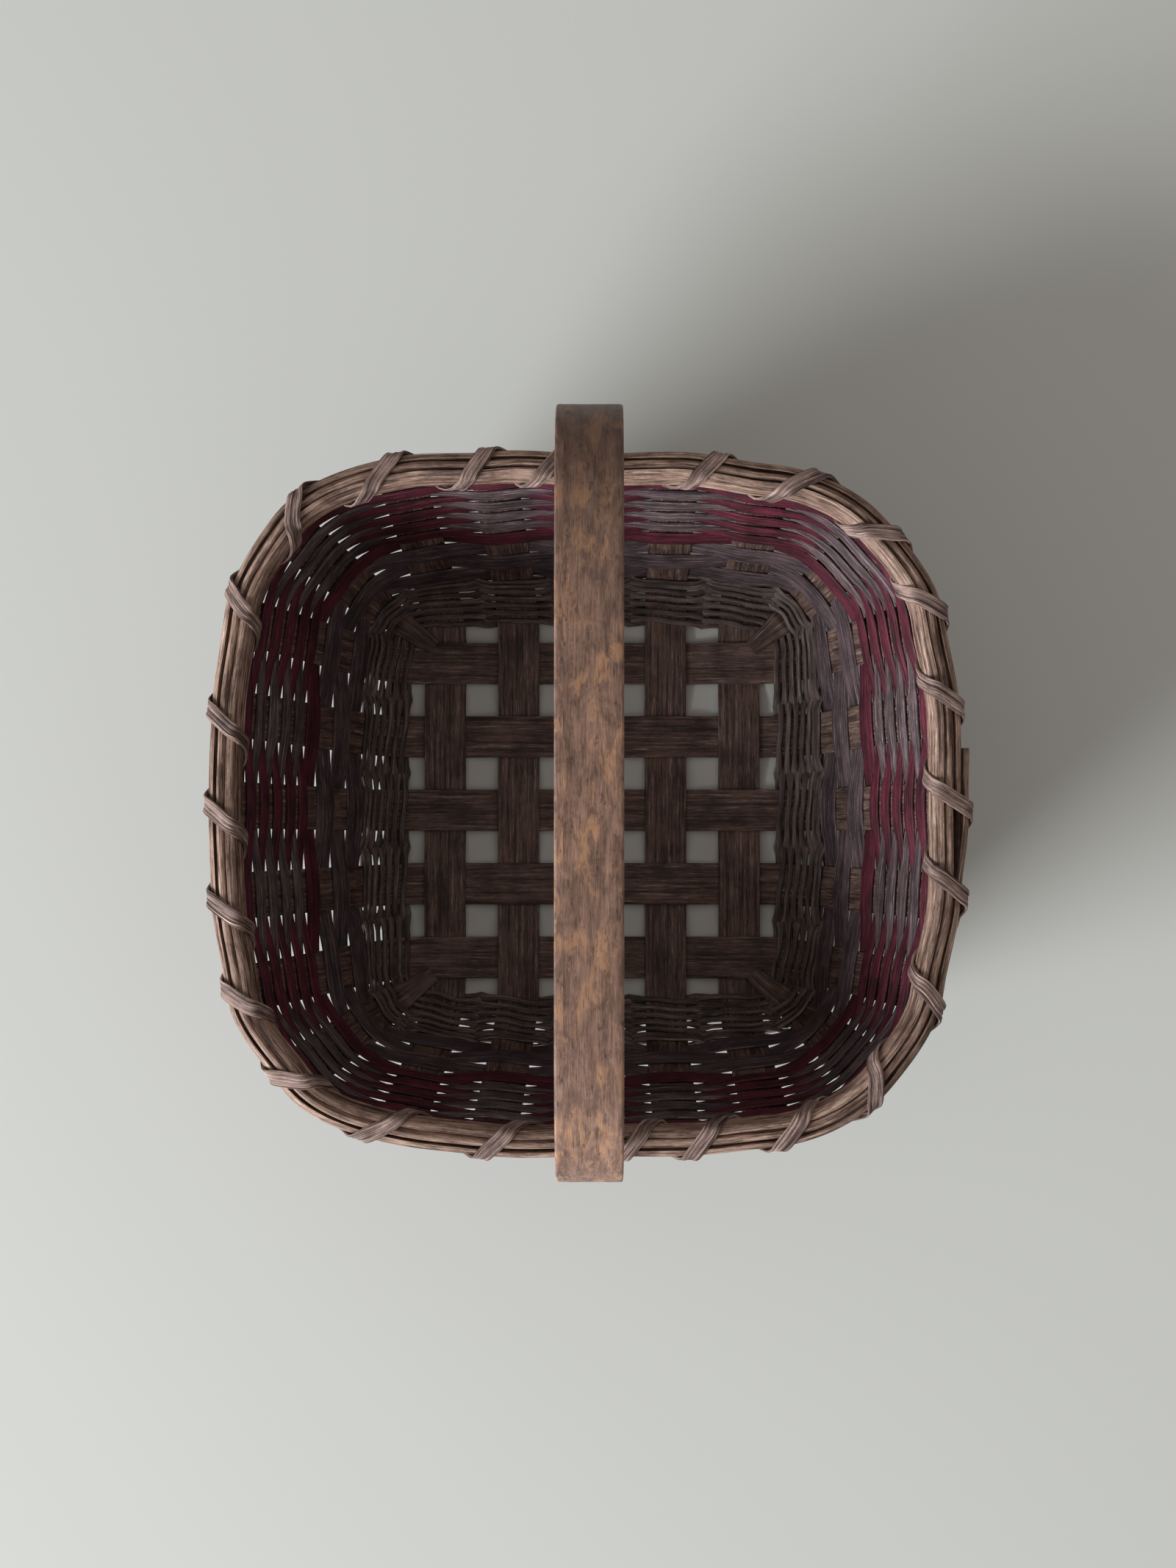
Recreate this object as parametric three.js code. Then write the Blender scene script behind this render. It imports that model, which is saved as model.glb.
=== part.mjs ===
// Market basket: woven reed, 5 by 5 stakes, twined foot, bent-wood hoop handle.
// Millimetres, +Z up. The origin is under the middle of the base, on the rest plane.
// +X is across the basket, +Y is along the plane of the handle.
import * as THREE from 'three';

// Driving sizes of the reed and wood stock
const clearance = 0.3;
const stakeWidth = 15.9;
const stakeThickness = 1.4;
const wideWidth = 12.7;
const wideRedWidth = 9.5;
const narrowWidth = 4.76;
const topRowWidth = 6.4;
const rimRowWidth = 5.6;
const weaverThickness = 1.0;
const strandSize = 1.3;
const rimHeight = 9.5;
const rimThickness = 2.8;
const fillerSize = 3.2;
const lashingWidth = 4.8;
const lashingThickness = 0.9;
const lashingSlack = 0.65;
const handleWidth = 19.05;
const handleThickness = 5.5;

// Driving sizes of the base and the wall
const stakePitch = 28.3;
const baseMarginX = 6.25;
const baseMarginY = 6.95;
const wallFlare = 48.5;
const rimShiftX = -2;
const handlePullShare = 0.828;
const baseSquareness = 8;
const rimSquareness = 3.2;
const rimFanShare = 1.095;
const twiningStart = 1.6;
const flatFoot = 4;
const footRadius = 14;
const wallLean = THREE.MathUtils.degToRad(15);
const twiningRows = 7;
const rowsBeforeCorners = 3;
const narrowRedRows = 5;

// Driving sizes of the handle's arch
const archRise = 138.4;
const archSquareness = 7;
const shoulderInset = 3.5;
const archSteps = 29;
const shoulderLength = 9;

// The corner stakes' cut tips: how wide they begin, and over what length they widen
const cornerTipShare = 0.36;
const cornerTaper = 22;

// Where each wrap of lashing crosses its gap, and how far it has dropped beside the next stake
const lashingFootShare = 0.8;
const lashingInnerShare = 0.65;
const lashingOuterShare = 0.15;
const lashingDropShares = [0.25, 0.75];

// Stretches of lashing whose faces agree by less than this share meet in a fold
const foldShare = 0.7;

// Finishes
const finishes = {
  base: { color: 0x4f3d31, roughness: 0.7 },
  foot: { color: 0x5d4f48, roughness: 0.65 },
  natural: { color: 0x776860, roughness: 0.7 },
  red: { color: 0x7c2a40, roughness: 0.65 },
  rim: { color: 0xa68871, roughness: 0.6 },
  lashing: { color: 0x6c5850, roughness: 0.6 },
  handle: { color: 0x7d5b41, roughness: 0.55 },
};

const sideStakes = 5;
const middleStake = (sideStakes - 1) / 2;
const aroundStakes = 4 * (sideStakes + 1);
const lastStakeEdge = middleStake * stakePitch + stakeWidth / 2;
const baseHalfX = lastStakeEdge + baseMarginX;
const baseHalfY = lastStakeEdge + baseMarginY;
const rimHalfX = baseHalfX + wallFlare;
const rimHalfY = baseHalfY + wallFlare * handlePullShare;
const halfTurn = stakeThickness / 2 + clearance + strandSize / 2;
const twist = (strandSize + clearance) / 2;
const twiningPitch = 2 * (strandSize + clearance);
const weaverOffset = stakeThickness / 2 + clearance + weaverThickness / 2;
const stakeMidHeight = stakeThickness / 2 + clearance + strandSize;

const basket = new THREE.Group();

// A closed or open strip: each section is a centre with its two half vectors.
function stripMesh(name, sections, finish, closed) {
  const positions = [];
  for (const { centre, across, through } of sections) {
    for (const [a, t] of [[-1, -1], [1, -1], [1, 1], [-1, 1]]) {
      const corner = centre.clone().addScaledVector(across, a).addScaledVector(through, t);
      positions.push(corner.x, corner.y, corner.z);
    }
  }
  const count = sections.length;
  const indices = [];
  const last = closed ? count : count - 1;
  for (let i = 0; i < last; i += 1) {
    const here = 4 * i;
    const next = 4 * ((i + 1) % count);
    for (let side = 0; side < 4; side += 1) {
      const other = (side + 1) % 4;
      indices.push(here + side, here + other, next + other);
      indices.push(here + side, next + other, next + side);
    }
  }
  if (!closed) {
    const end = 4 * (count - 1);
    indices.push(0, 2, 1, 0, 3, 2);
    indices.push(end, end + 1, end + 2, end, end + 2, end + 3);
  }
  const geometry = new THREE.BufferGeometry();
  geometry.setAttribute('position', new THREE.Float32BufferAttribute(positions, 3));
  geometry.setIndex(turnedOut(positions, indices));
  geometry.computeVertexNormals();
  const material = new THREE.MeshStandardMaterial({ ...finish, metalness: 0 });
  const mesh = new THREE.Mesh(geometry, material);
  mesh.name = name;
  basket.add(mesh);
}

// The triangles' order, reversed where the strip was wound inside out.
function turnedOut(positions, indices) {
  const corner = (i) => new THREE.Vector3().fromArray(positions, 3 * i);
  let volume = 0;
  for (let i = 0; i < indices.length; i += 3) {
    const [a, b, c] = [corner(indices[i]), corner(indices[i + 1]), corner(indices[i + 2])];
    volume += a.dot(b.cross(c));
  }
  return volume < 0 ? indices.reverse() : indices;
}

// Sections along a route. Each point has its place and the direction of the strip's width.
function routeSections(route, width, thickness, closed) {
  const count = route.length;
  return route.map(({ place, wide, halfWidth, halfThickness }, i) => {
    const before = closed || i > 0 ? route[(i + count - 1) % count].place : null;
    const after = closed || i < count - 1 ? route[(i + 1) % count].place : null;
    const coming = before ? place.clone().sub(before).normalize() : null;
    const going = after ? after.clone().sub(place).normalize() : null;
    const first = wide.clone().cross(coming ?? going).normalize();
    const second = wide.clone().cross(going ?? coming).normalize();
    const mitre = first.clone().add(second).divideScalar(1 + first.dot(second));
    return {
      centre: place,
      across: wide.clone().multiplyScalar(halfWidth ?? width / 2),
      through: mitre.multiplyScalar(halfThickness ?? thickness / 2),
    };
  });
}

// Wall heights, measured up the wall's middle surface from the edge of the base
const twiningTop = twiningStart + (twiningRows - 1) * twiningPitch + twist + strandSize / 2;
const twiningRowPlace = (row) => twiningStart + row * twiningPitch;
const rowTable = [];
let rowEdge = twiningTop + 2 * clearance;
function addRow(name, width, finish, insideAt) {
  rowTable.push({ name, width, finish, insideAt, place: rowEdge + width / 2 });
  rowEdge += width + clearance;
}
addRow('wide_weaver_low', wideWidth, finishes.natural, 0);
addRow('wide_weaver_middle', wideWidth, finishes.natural, 1);
addRow('wide_weaver_high', wideWidth, finishes.natural, 0);
addRow('wide_red_weaver', wideRedWidth, finishes.red, 1);
for (let i = 0; i < narrowRedRows; i += 1) {
  addRow(`narrow_red_weaver_${i + 1}`, narrowWidth, finishes.red, 0);
  if (i < narrowRedRows - 1) {
    addRow(`narrow_natural_weaver_${i + 1}`, narrowWidth, finishes.natural, 1);
  }
}
addRow('red_weaver_under_rim', topRowWidth, finishes.red, 1);
const slotPlace = rowEdge + 2 * clearance + lashingThickness / 2;
rowEdge = slotPlace + lashingThickness / 2 + 2 * clearance;
const rimBottom = rowEdge;
addRow('rim_row_weaver', rimRowWidth, finishes.natural, 0);
const rimPlace = rimBottom + rimHeight / 2;
const rimTop = rimBottom + rimHeight;
const fillerPlace = rimTop - fillerSize / 2;
const stakeTop = fillerPlace - fillerSize / 2 - clearance;

// The wall's profile: flat foot, a bend, then a leaning wall
const bendAngle = Math.PI / 2 - wallLean;
const bendEnd = flatFoot + footRadius * bendAngle;
const bendReach = flatFoot + footRadius * Math.sin(bendAngle);
const bendRise = footRadius * (1 - Math.cos(bendAngle));
function profile(along, reach) {
  if (along <= flatFoot) {
    return { out: along, up: 0 };
  }
  if (along <= bendEnd) {
    const angle = (along - flatFoot) / footRadius;
    return { out: flatFoot + footRadius * Math.sin(angle), up: footRadius * (1 - Math.cos(angle)) };
  }
  const straight = along - bendEnd;
  const slope = (reach - bendReach) / (rimPlace - bendEnd);
  return { out: bendReach + straight * slope, up: bendRise + straight * Math.cos(wallLean) };
}

// The stakes round the wall, counter-clockwise from the lower end of the +X side
function squaredEdge(halfA, halfB, b, power) {
  return halfA * (1 - Math.abs(b / halfB) ** power) ** (1 / power);
}
const stakes = [];
for (let side = 0; side < 4; side += 1) {
  const alongX = side % 2 === 0;
  const outSign = side < 2 ? 1 : -1;
  const slideSign = side === 0 || side === 3 ? 1 : -1;
  const [baseOut, baseSide] = alongX ? [baseHalfX, baseHalfY] : [baseHalfY, baseHalfX];
  const [rimOut, rimSide] = alongX ? [rimHalfX, rimHalfY] : [rimHalfY, rimHalfX];
  for (let i = 0; i < sideStakes; i += 1) {
    const slide = (i - middleStake) * stakePitch * slideSign;
    const fanned = slide * rimFanShare;
    const foot = [outSign * squaredEdge(baseOut, baseSide, slide, baseSquareness), slide];
    const head = [outSign * squaredEdge(rimOut, rimSide, fanned, rimSquareness), fanned];
    if (!alongX) {
      foot.reverse();
      head.reverse();
    }
    const isHandle = !alongX && i === middleStake;
    head[0] += isHandle ? 0 : rimShiftX;
    addStake(foot, head, false, isHandle);
  }
  const cornerX = side === 0 || side === 3 ? 1 : -1;
  const cornerY = side < 2 ? 1 : -1;
  const lastSlide = middleStake * stakePitch;
  const foot = [
    cornerX * (squaredEdge(baseHalfX, baseHalfY, lastSlide, baseSquareness) + lastStakeEdge) / 2,
    cornerY * (squaredEdge(baseHalfY, baseHalfX, lastSlide, baseSquareness) + lastStakeEdge) / 2,
  ];
  const diagonal = 2 ** (-1 / rimSquareness);
  const head = [cornerX * rimHalfX * diagonal + rimShiftX, cornerY * rimHalfY * diagonal];
  addStake(foot, head, true, false);
}

function addStake(foot, head, isCorner, isHandle) {
  const start = new THREE.Vector3(foot[0], foot[1], stakeMidHeight);
  const outward = new THREE.Vector3(head[0] - foot[0], head[1] - foot[1], 0);
  const reach = outward.length();
  outward.normalize();
  const side = new THREE.Vector3(-outward.y, outward.x, 0);
  stakes.push({ start, outward, side, reach, isCorner, isHandle });
}

const cornerTip = twiningRowPlace(rowsBeforeCorners) - twist - strandSize / 2;
function stakeHalfWidth(stake, along) {
  if (stake.isHandle) {
    return handleWidth / 2;
  }
  if (!stake.isCorner) {
    return stakeWidth / 2;
  }
  const grown = THREE.MathUtils.clamp((along - cornerTip) / cornerTaper, 0, 1);
  return (stakeWidth / 2) * (cornerTipShare + (1 - cornerTipShare) * grown);
}

// The middle of a stake at a height up the wall, with its directions there
function stakeFrame(stake, along) {
  const step = clearance;
  const low = profile(along - step / 2, stake.reach);
  const high = profile(along + step / 2, stake.reach);
  const here = profile(along, stake.reach);
  const place = stake.start.clone().addScaledVector(stake.outward, here.out);
  place.z += here.up;
  const slope = new THREE.Vector2(high.out - low.out, high.up - low.up).normalize();
  const upward = stake.outward.clone().multiplyScalar(slope.x).setZ(slope.y);
  const inward = stake.outward.clone().multiplyScalar(-slope.y).setZ(slope.x);
  return { place, upward, inward };
}

// A point beside a stake: shifted along the wall, and in or out of it
function besideStake(stake, along, shift, inward) {
  const frame = stakeFrame(stake, along);
  const place = frame.place.clone().addScaledVector(stake.side, shift).addScaledVector(frame.inward, inward);
  return { place, wide: frame.upward, inward: frame.inward };
}

// Weavers: each row passes inside every second stake and outside the others
for (const { name, width, finish, insideAt, place } of rowTable) {
  const route = [];
  stakes.forEach((stake, i) => {
    const offset = i % 2 === insideAt ? weaverOffset : -weaverOffset;
    const edge = stakeHalfWidth(stake, place + width / 2) + clearance;
    route.push(besideStake(stake, place, -edge, offset));
    route.push(besideStake(stake, place, edge, offset));
  });
  stripMesh(name, routeSections(route, width, weaverThickness, true), finish, true);
}

// Twining: two strands that change sides between the stakes and pass each other there
function twiningStrand(name, startsInside) {
  const route = [];
  let inside = startsInside;
  const winding = [...stakes.slice(-1), ...stakes.slice(0, -1)];
  for (let row = 0; row < twiningRows; row += 1) {
    const isTopRow = row === twiningRows - 1;
    const wrapped = isTopRow ? winding.slice(0, -1) : winding;
    wrapped.forEach((stake, i) => {
      const offset = inside ? halfTurn : -halfTurn;
      const leads = inside ? -twist : twist;
      const along = twiningRowPlace(row);
      const climb = i === winding.length - 1 ? twiningPitch : 0;
      if (stake.isCorner && row < rowsBeforeCorners) {
        route.push(besideStake(stake, along + leads, 0, 0));
        return;
      }
      const edge = stakeHalfWidth(stake, along) + clearance;
      route.push(besideStake(stake, along + leads, -edge, offset));
      route.push(besideStake(stake, along - leads + climb, edge, offset));
      inside = !inside;
    });
  }
  stripMesh(name, routeSections(route, strandSize, strandSize, false), finishes.foot, false);
}
twiningStrand('twining_strand_a', true);
twiningStrand('twining_strand_b', false);

// Base weave: a strip rises over or dips under each strip that it crosses
function baseRoute(index, alongX) {
  const points = [];
  const crossingLift = stakeThickness / 2 + clearance / 2;
  for (let other = 0; other < sideStakes; other += 1) {
    const isOver = (index + other) % 2 === (alongX ? 0 : 1);
    const lift = stakeMidHeight + (isOver ? crossingLift : -crossingLift);
    const otherHalf = alongX && other === middleStake ? handleWidth / 2 : stakeWidth / 2;
    for (const edge of [-otherHalf - clearance, otherHalf + clearance]) {
      const along = (other - middleStake) * stakePitch + edge;
      const across = (index - middleStake) * stakePitch;
      const place = new THREE.Vector3(alongX ? along : across, alongX ? across : along, lift);
      points.push({ place, wide: new THREE.Vector3(alongX ? 0 : 1, alongX ? 1 : 0, 0) });
    }
  }
  return points;
}

// The part of a stake in the wall, from its bend up
const wallSteps = [0, flatFoot];
const bendSteps = 5;
for (let i = 1; i <= bendSteps; i += 1) {
  wallSteps.push(flatFoot + ((bendEnd - flatFoot) * i) / bendSteps);
}
function wallRoute(stake, top) {
  const isReturning = stake.side.x + stake.side.y < 0;
  const wide = isReturning ? stake.side.clone().negate() : stake.side;
  return [...wallSteps, top].map((along) => ({ place: besideStake(stake, along, 0, 0).place, wide }));
}

function stakeRoute(index, alongX, top) {
  const perSide = sideStakes + 1;
  const mirrored = sideStakes - 1 - index;
  const near = stakes[alongX ? 2 * perSide + mirrored : 3 * perSide + index];
  const far = stakes[alongX ? index : perSide + mirrored];
  const down = wallRoute(near, top).reverse();
  const up = wallRoute(far, top);
  return [...down, ...baseRoute(index, alongX), ...up];
}

for (let index = 0; index < sideStakes; index += 1) {
  for (const alongX of [true, false]) {
    if (!alongX && index === middleStake) {
      continue;
    }
    const route = stakeRoute(index, alongX, stakeTop);
    const name = alongX ? `stake_across_${index + 1}` : `stake_along_${index + 1}`;
    stripMesh(name, routeSections(route, stakeWidth, stakeThickness, false), finishes.base, false);
  }
}

// Corner stakes: tapered tips held by the later rows of twining
const cornerNames = ['corner_stake_right_back', 'corner_stake_left_back', 'corner_stake_left_front',
  'corner_stake_right_front'];
stakes.filter((stake) => stake.isCorner).forEach((stake, i) => {
  const steps = [cornerTip, ...wallSteps.filter((along) => along > cornerTip)];
  steps.push(cornerTip + cornerTaper, stakeTop);
  steps.sort((a, b) => a - b);
  const route = steps.map((along) => ({
    place: besideStake(stake, along, 0, 0).place,
    wide: stake.side,
    halfWidth: stakeHalfWidth(stake, along),
  }));
  stripMesh(cornerNames[i], routeSections(route, stakeWidth, stakeThickness, false), finishes.base, false);
});

// Points round the rim: the same corners as the stakes' edges, with places between them
function ringCorners(along) {
  const corners = [];
  stakes.forEach((stake, i) => {
    const edge = stakeHalfWidth(stake, along) + clearance;
    corners.push({ stake, turn: i, shift: -edge }, { stake, turn: i, shift: edge });
  });
  return corners;
}
function rimPoint(corner, along, inward) {
  return besideStake(corner.stake, along, corner.shift, inward);
}
function inGap(gap, share, along, inward) {
  const here = stakes[gap % aroundStakes];
  const next = stakes[(gap + 1) % aroundStakes];
  const from = besideStake(here, along, stakeHalfWidth(here, along) + clearance, inward);
  const to = besideStake(next, along, -stakeHalfWidth(next, along) - clearance, inward);
  return {
    place: from.place.clone().lerp(to.place, share),
    wide: from.wide.clone().lerp(to.wide, share).normalize(),
    ring: to.place.clone().sub(from.place).normalize(),
  };
}

const rimOffset = weaverOffset + weaverThickness / 2 + clearance + rimThickness / 2;
const innerRoute = ringCorners(rimPlace).map((corner) => rimPoint(corner, rimPlace, rimOffset));
stripMesh('rim_inner', routeSections(innerRoute, rimHeight, rimThickness, true), finishes.rim, true);

// The outer rim goes once round and overlaps its own start at the middle of the +X side
const overlapStart = 2 * middleStake;
const overlapLength = 3;
const overlapLift = rimThickness + clearance;
const rimCorners = ringCorners(rimPlace);
const outerRoute = [];
for (let i = 0; i < rimCorners.length + overlapLength; i += 1) {
  const corner = rimCorners[(overlapStart + i) % rimCorners.length];
  const lifted = i >= rimCorners.length - 1 ? overlapLift : 0;
  outerRoute.push(rimPoint(corner, rimPlace, -rimOffset - lifted));
}
stripMesh('rim_outer', routeSections(outerRoute, rimHeight, rimThickness, false), finishes.rim, false);

// The filler lies between the rims, in two lengths that stop at the handle
function fillerLength(name, from, to) {
  const route = [];
  const corners = ringCorners(fillerPlace);
  for (let turn = from; turn <= to; turn += 1) {
    const pair = corners.slice(2 * (turn % aroundStakes), 2 * (turn % aroundStakes) + 2);
    const kept = turn === from ? pair.slice(1) : turn === to ? pair.slice(0, 1) : pair;
    kept.forEach((corner) => route.push(rimPoint(corner, fillerPlace, 0)));
  }
  stripMesh(name, routeSections(route, fillerSize, fillerSize, false), finishes.rim, false);
}
const backHandle = sideStakes + 1 + middleStake;
const frontHandle = 3 * (sideStakes + 1) + middleStake;
fillerLength('rim_filler_left', backHandle, frontHandle);
fillerLength('rim_filler_right', frontHandle, backHandle + aroundStakes);

// Lashing: one strip that winds round both rims, once in each gap between stakes
const lashingOffset = rimOffset + rimThickness / 2 + lashingSlack + lashingThickness / 2;
const lashingTop = rimTop + lashingSlack + lashingThickness / 2;
const lashedOverlap = (turn, isEnd) => {
  const place = (2 * turn + (isEnd ? 1 : 0) + rimCorners.length) % rimCorners.length;
  const along = (place - overlapStart + rimCorners.length) % rimCorners.length;
  return along < overlapLength || along === rimCorners.length - 1 ? overlapLift : 0;
};
const lashing = [];
for (let gap = aroundStakes - 1; gap >= 0; gap -= 1) {
  const outHere = Math.max(lashedOverlap(gap, true), lashedOverlap(gap + 1, false));
  const outer = lashingOffset + outHere;
  lashing.push({ ...inGap(gap, lashingFootShare, slotPlace, -outer), faces: 'under' });
  lashing.push({ ...inGap(gap, lashingFootShare, slotPlace, lashingOffset), faces: 'inner' });
  lashing.push({ ...inGap(gap, lashingInnerShare, lashingTop, lashingOffset), faces: 'over' });
  lashing.push({ ...inGap(gap, lashingOuterShare, lashingTop, -outer), faces: 'outer' });
  const passed = (gap + aroundStakes - 1) % aroundStakes;
  for (const [i, sideSign] of [1, -1].entries()) {
    const along = THREE.MathUtils.lerp(lashingTop, slotPlace, lashingDropShares[i]);
    const edge = stakeHalfWidth(stakes[gap], along) + clearance;
    const lifted = Math.max(lashedOverlap(gap, i === 0), i === 0 ? outHere : lashedOverlap(passed, true));
    const inward = -lashingOffset - lifted;
    lashing.push({
      ...besideStake(stakes[gap], along, sideSign * edge, inward),
      ring: i === 0 ? stakes[gap].side : inGap(passed, 1, along, inward).ring,
      faces: 'outer',
    });
  }
}

// Which way each stretch of lashing faces, away from the rims that it holds
function facing({ faces, wide, ring }) {
  const inward = wide.clone().cross(ring).normalize();
  const downward = wide.clone().negate();
  const outward = inward.clone().negate();
  return { under: downward, over: wide, inner: inward, outer: outward }[faces];
}
function lashingSections(points) {
  const count = points.length;
  const stretches = points.map((point, i) => {
    const going = points[(i + 1) % count].place.clone().sub(point.place).normalize();
    const face = facing(point).clone();
    return { going, face: face.addScaledVector(going, -face.dot(going)).normalize() };
  });
  return points.map((point, i) => {
    const [before, after] = [stretches[(i + count - 1) % count], stretches[i]];
    const isFold = Math.abs(before.face.dot(after.face)) < foldShare;
    const wide = isFold
      ? before.face.clone().cross(after.face)
      : before.face.clone().cross(before.going).add(after.face.clone().cross(after.going));
    const mitre = before.face.clone().add(after.face).divideScalar(1 + before.face.dot(after.face));
    return {
      centre: point.place,
      across: wide.normalize().multiplyScalar(lashingWidth / 2),
      through: mitre.multiplyScalar(lashingThickness / 2),
    };
  });
}
stripMesh('rim_lashing', lashingSections(lashing), finishes.lashing, true);

// Handle: a bent hoop whose tails run down the walls and under the base as its middle stake
const handleTop = rimTop + clearance;
const archFoot = besideStake(stakes[backHandle], handleTop + shoulderLength, 0, 0).place;
const thinHalf = stakeThickness / 2;
const thickHalf = handleThickness / 2;
function handleArch() {
  const arch = [];
  for (let i = 0; i <= archSteps; i += 1) {
    const angle = (Math.PI * i) / archSteps;
    const [c, s] = [Math.cos(angle), Math.sin(angle)];
    const power = 2 / archSquareness;
    const risen = Math.abs(s) ** power;
    const inset = shoulderInset * (1 - (1 - risen) ** 2);
    const y = (archFoot.y - inset) * Math.sign(c) * Math.abs(c) ** power;
    const z = archFoot.z + archRise * risen;
    arch.push({ place: new THREE.Vector3(0, y, z), halfThickness: thickHalf });
  }
  return arch;
}
function handleTail(stake) {
  return wallRoute(stake, handleTop).map((point) => ({ ...point, halfThickness: thinHalf }));
}
const under = baseRoute(middleStake, false).map((point) => ({ ...point, halfThickness: thinHalf }));
const handleRoute = [
  ...handleTail(stakes[frontHandle]).reverse(),
  ...under,
  ...handleTail(stakes[backHandle]),
  ...handleArch(),
].map((point) => ({ ...point, wide: new THREE.Vector3(1, 0, 0) }));
stripMesh('handle', routeSections(handleRoute, handleWidth, handleThickness, true), finishes.handle, true);

export default basket;
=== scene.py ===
import math

import bpy
import numpy as np
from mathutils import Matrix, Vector


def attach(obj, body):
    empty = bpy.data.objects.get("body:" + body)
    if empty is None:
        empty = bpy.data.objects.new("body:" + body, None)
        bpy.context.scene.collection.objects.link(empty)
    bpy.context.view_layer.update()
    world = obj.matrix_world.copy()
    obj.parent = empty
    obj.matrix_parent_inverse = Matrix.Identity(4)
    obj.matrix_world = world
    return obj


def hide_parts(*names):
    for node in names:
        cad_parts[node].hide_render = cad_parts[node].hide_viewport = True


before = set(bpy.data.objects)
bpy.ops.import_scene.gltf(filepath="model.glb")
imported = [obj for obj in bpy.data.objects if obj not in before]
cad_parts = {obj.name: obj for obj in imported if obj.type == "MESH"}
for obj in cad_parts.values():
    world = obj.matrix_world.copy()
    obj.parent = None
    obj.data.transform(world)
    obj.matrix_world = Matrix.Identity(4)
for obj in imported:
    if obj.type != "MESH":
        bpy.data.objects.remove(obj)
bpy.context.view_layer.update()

MM = 0.001

# Reed and wood stock, as in the construction
CLEARANCE = 0.3 * MM
HAIR_GAP = 0.05 * MM
STAKE_WIDTH = 15.9 * MM
STAKE_THICKNESS = 1.4 * MM
WIDE_WIDTH = 12.7 * MM
WIDE_RED_WIDTH = 9.5 * MM
NARROW_WIDTH = 4.76 * MM
TOP_ROW_WIDTH = 6.4 * MM
RIM_ROW_WIDTH = 5.6 * MM
WEAVER_THICKNESS = 1.0 * MM
STRAND_SIZE = 1.3 * MM
RIM_HEIGHT = 9.5 * MM
RIM_THICKNESS = 2.8 * MM
FILLER_SIZE = 3.2 * MM
LASHING_WIDTH = 4.8 * MM
LASHING_THICKNESS = 0.9 * MM
HANDLE_WIDTH = 19.05 * MM
HANDLE_THICKNESS = 5.5 * MM

# The base, the wall and the handle's arch
STAKE_PITCH = 28.3 * MM
BASE_HALF = (70.8 * MM, 71.5 * MM)
RIM_HALF = (119.3 * MM, 111.66 * MM)
RIM_SHIFT_X = -2 * MM
BASE_SQUARENESS = 8
RIM_SQUARENESS = 3.2
RIM_FAN_SHARE = 1.095
TWINING_START = 1.6 * MM
FLAT_FOOT = 4 * MM
FOOT_RADIUS = 14 * MM
WALL_LEAN = math.radians(15)
TWINING_ROWS = 7
ROWS_BEFORE_CORNERS = 3
NARROW_RED_ROWS = 5
ARCH_RISE = 138.4 * MM
ARCH_SQUARENESS = 7
SHOULDER_LENGTH = 9 * MM
SHOULDER_INSET = 5.2 * MM
ARCH_SET_BACK = 1.6 * MM
CORNER_TIP_SHARE = 0.36
CORNER_TAPER = 22 * MM

# How far the finished rim stands out from the even shape at each stake, round from the +X side
RIM_SWELL = [swell * MM for swell in (
    1.5, 2.0, 1.5, 2.0, 2.2, 2.8, 2.2, 2.4, 1.4, 2.6, 5.0, 6.2,
    3.0, 1.6, 1.9, 1.4, 1.9, 2.4, 1.5, 1.2, 0.8, 1.2, 2.4, 2.8,
)]

SIDE_STAKES = 5
MIDDLE = (SIDE_STAKES - 1) // 2
PER_SIDE = SIDE_STAKES + 1
AROUND = 4 * PER_SIDE
TWIST = (STRAND_SIZE + CLEARANCE) / 2
TWINING_PITCH = 2 * (STRAND_SIZE + CLEARANCE)
STAKE_MID_HEIGHT = STAKE_THICKNESS / 2 + CLEARANCE + STRAND_SIZE
WEAVER_OFFSET = STAKE_THICKNESS / 2 + CLEARANCE + WEAVER_THICKNESS / 2
RIM_OFFSET = WEAVER_OFFSET + WEAVER_THICKNESS / 2 + CLEARANCE + RIM_THICKNESS / 2


def twining_row_place(row):
    return TWINING_START + row * TWINING_PITCH


def list_rows():
    """Each row's name, width, reed and the stakes that it passes inside: 0 for even, 1 for odd."""
    rows = [
        ("wide_weaver_low", WIDE_WIDTH, "natural", 0),
        ("wide_weaver_middle", WIDE_WIDTH, "natural", 1),
        ("wide_weaver_high", WIDE_WIDTH, "natural", 0),
        ("wide_red_weaver", WIDE_RED_WIDTH, "red", 1),
    ]
    for number in range(1, NARROW_RED_ROWS + 1):
        rows.append((f"narrow_red_weaver_{number}", NARROW_WIDTH, "red", 0))
        if number < NARROW_RED_ROWS:
            rows.append((f"narrow_natural_weaver_{number}", NARROW_WIDTH, "natural", 1))
    return rows + [("red_weaver_under_rim", TOP_ROW_WIDTH, "red", 1)]


def stack_rows(rows, edge):
    """The same rows with their places, stacked up the wall from an edge, and the edge above them."""
    placed = []
    for name, width, reed, inside_at in rows:
        placed.append((name, width, reed, inside_at, edge + width / 2))
        edge += width + CLEARANCE
    return placed, edge


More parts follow.
